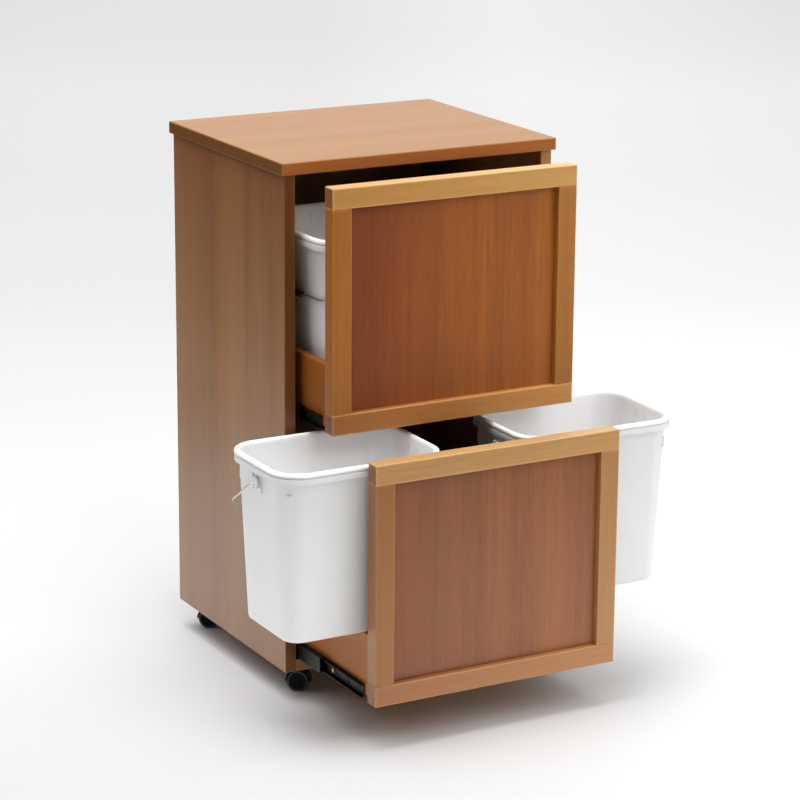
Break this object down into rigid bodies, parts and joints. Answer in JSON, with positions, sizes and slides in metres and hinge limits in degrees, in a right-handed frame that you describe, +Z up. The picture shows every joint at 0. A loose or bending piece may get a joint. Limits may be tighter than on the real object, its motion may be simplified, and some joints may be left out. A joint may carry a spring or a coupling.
{
  "type": "recycling bin cabinet",
  "caption": "Narrow wooden cabinet on castors with pull-out drawers on runners, holding plastic waste pails with wire handles.",
  "frame": {"origin": "on the floor, midway between the side panels and midway between the front face of the open lower drawer and the back edge of the top", "axes": "+X to the right seen from the front, +Y from the front to the back, +Z up"},
  "size_m": [0.6634, 0.6116, 0.804],
  "materials": {
    "case_wood": "oiled, satin",
    "back_board": "plain plywood",
    "dowel_wood": "plain",
    "screw_steel": "zinc plated",
    "runner_steel": "dark, lightly oiled",
    "frame_wood": "oiled, satin",
    "panel_wood": "oiled, satin, reddish",
    "floor_board": "plain plywood",
    "box_wood": "oiled, satin",
    "pail_plastic": "white, satin",
    "wire_steel": "galvanised wire",
    "grip_plastic": "black",
    "castor_plastic": "black",
    "wheel_plastic": "black"
  },
  "bodies": {
    "cabinet": {"top_board": "case_wood", "left_side_panel": "case_wood", "right_side_panel": "case_wood", "bottom_board": "case_wood", "back_panel": "back_board", "case_dowels": "dowel_wood", "fixing_screws": "screw_steel", "upper_cabinet_runners": "runner_steel", "lower_cabinet_runners": "runner_steel", "castor_plates": "runner_steel"},
    "upper_drawer": {"upper_drawer_runners": "runner_steel", "upper_top_rail": "frame_wood", "upper_bottom_rail": "frame_wood", "upper_left_stile": "frame_wood", "upper_right_stile": "frame_wood", "upper_panel": "panel_wood", "upper_box_left": "box_wood", "upper_box_right": "box_wood", "upper_box_front": "box_wood", "upper_box_back": "box_wood", "upper_box_floor": "floor_board", "upper_drawer_screws": "screw_steel"},
    "upper_runner_middles": {"upper_middle_runners": "runner_steel"},
    "lower_drawer": {"lower_drawer_runners": "runner_steel", "lower_top_rail": "frame_wood", "lower_bottom_rail": "frame_wood", "lower_left_stile": "frame_wood", "lower_right_stile": "frame_wood", "lower_panel": "panel_wood", "lower_box_left": "box_wood", "lower_box_right": "box_wood", "lower_box_front": "box_wood", "lower_box_back": "box_wood", "lower_box_floor": "floor_board", "lower_drawer_screws": "screw_steel"},
    "lower_runner_middles": {"lower_middle_runners": "runner_steel"},
    "upper_left_pail": {"upper_left_pail": "pail_plastic"},
    "upper_left_handle": {"upper_left_handle": "wire_steel", "upper_left_grip": "grip_plastic"},
    "upper_right_pail": {"upper_right_pail": "pail_plastic"},
    "upper_right_handle": {"upper_right_handle": "wire_steel", "upper_right_grip": "grip_plastic"},
    "lower_left_pail": {"lower_left_pail": "pail_plastic"},
    "lower_left_handle": {"lower_left_handle": "wire_steel", "lower_left_grip": "grip_plastic"},
    "lower_right_pail": {"lower_right_pail": "pail_plastic"},
    "lower_right_handle": {"lower_right_handle": "wire_steel", "lower_right_grip": "grip_plastic"},
    "front_left_castor": {"front_left_housing": "castor_plastic", "front_left_axle": "wire_steel"},
    "front_left_wheels": {"front_left_wheels": "wheel_plastic"},
    "front_right_castor": {"front_right_housing": "castor_plastic", "front_right_axle": "wire_steel"},
    "front_right_wheels": {"front_right_wheels": "wheel_plastic"},
    "back_left_castor": {"back_left_housing": "castor_plastic", "back_left_axle": "wire_steel"},
    "back_left_wheels": {"back_left_wheels": "wheel_plastic"},
    "back_right_castor": {"back_right_housing": "castor_plastic", "back_right_axle": "wire_steel"},
    "back_right_wheels": {"back_right_wheels": "wheel_plastic"}
  },
  "joints": [
    {"name": "upper_drawer_slide", "type": "slide", "parent": "cabinet", "child": "upper_drawer", "axis": [0, -1, 0], "range_m": [-0.107, 0.193]},
    {"name": "upper_runner_slide", "type": "slide", "parent": "cabinet", "child": "upper_runner_middles", "axis": [0, -1, 0], "range_m": [-0.0535, 0.0965]},
    {"name": "lower_drawer_slide", "type": "slide", "parent": "cabinet", "child": "lower_drawer", "axis": [0, -1, 0], "range_m": [0, 0.0634]},
    {"name": "lower_runner_slide", "type": "slide", "parent": "cabinet", "child": "lower_runner_middles", "axis": [0, -1, 0], "range_m": [0, 0.0317]},
    {"name": "upper_left_pail_lift", "type": "slide", "parent": "upper_drawer", "child": "upper_left_pail", "axis": [0, 0, 1], "range_m": [0, 0.085]},
    {"name": "upper_left_handle_hinge", "type": "hinge", "parent": "upper_left_pail", "child": "upper_left_handle", "pos_m": [-0.0945, -0.0052, 0.665], "axis": [0, 1, 0], "range_deg": [0, 19]},
    {"name": "upper_right_pail_lift", "type": "slide", "parent": "upper_drawer", "child": "upper_right_pail", "axis": [0, 0, 1], "range_m": [0, 0.085]},
    {"name": "upper_right_handle_hinge", "type": "hinge", "parent": "upper_right_pail", "child": "upper_right_handle", "pos_m": [0.0945, -0.0052, 0.665], "axis": [0, -1, 0], "range_deg": [0, 19]},
    {"name": "lower_left_pail_slide", "type": "slide", "parent": "lower_drawer", "child": "lower_left_pail", "axis": [-1, 0, 0], "range_m": [0, 0.3]},
    {"name": "lower_left_handle_hinge", "type": "hinge", "parent": "lower_left_pail", "child": "lower_left_handle", "pos_m": [-0.195, -0.1828, 0.382], "axis": [1, 0, 0], "range_deg": [0, 55]},
    {"name": "lower_right_pail_slide", "type": "slide", "parent": "lower_drawer", "child": "lower_right_pail", "axis": [1, 0, 0], "range_m": [0, 0.3]},
    {"name": "lower_right_handle_hinge", "type": "hinge", "parent": "lower_right_pail", "child": "lower_right_handle", "pos_m": [0.195, -0.1798, 0.382], "axis": [1, 0, 0], "range_deg": [0, 55]},
    {"name": "front_left_swivel", "type": "hinge", "parent": "cabinet", "child": "front_left_castor", "pos_m": [-0.175, -0.0382, 0.04], "axis": [0, 0, 1], "continuous": true},
    {"name": "front_left_wheel_spin", "type": "hinge", "parent": "front_left_castor", "child": "front_left_wheels", "pos_m": [-0.18073, -0.03418, 0.0165], "axis": [0.5736, 0.8192, 0], "continuous": true},
    {"name": "front_right_swivel", "type": "hinge", "parent": "cabinet", "child": "front_right_castor", "pos_m": [0.175, -0.0382, 0.04], "axis": [0, 0, 1], "continuous": true},
    {"name": "front_right_wheel_spin", "type": "hinge", "parent": "front_right_castor", "child": "front_right_wheels", "pos_m": [0.16927, -0.03418, 0.0165], "axis": [0.5736, 0.8192, 0], "continuous": true},
    {"name": "back_left_swivel", "type": "hinge", "parent": "cabinet", "child": "back_left_castor", "pos_m": [-0.175, 0.2698, 0.04], "axis": [0, 0, 1], "continuous": true},
    {"name": "back_left_wheel_spin", "type": "hinge", "parent": "back_left_castor", "child": "back_left_wheels", "pos_m": [-0.18073, 0.27382, 0.0165], "axis": [0.5736, 0.8192, 0], "continuous": true},
    {"name": "back_right_swivel", "type": "hinge", "parent": "cabinet", "child": "back_right_castor", "pos_m": [0.175, 0.2698, 0.04], "axis": [0, 0, 1], "continuous": true},
    {"name": "back_right_wheel_spin", "type": "hinge", "parent": "back_right_castor", "child": "back_right_wheels", "pos_m": [0.16927, 0.27382, 0.0165], "axis": [0.5736, 0.8192, 0], "continuous": true}
  ],
  "couplings": [
    {"joint": "upper_runner_slide", "follows": "upper_drawer_slide", "ratio": 0.5},
    {"joint": "lower_runner_slide", "follows": "lower_drawer_slide", "ratio": 0.5}
  ]
}
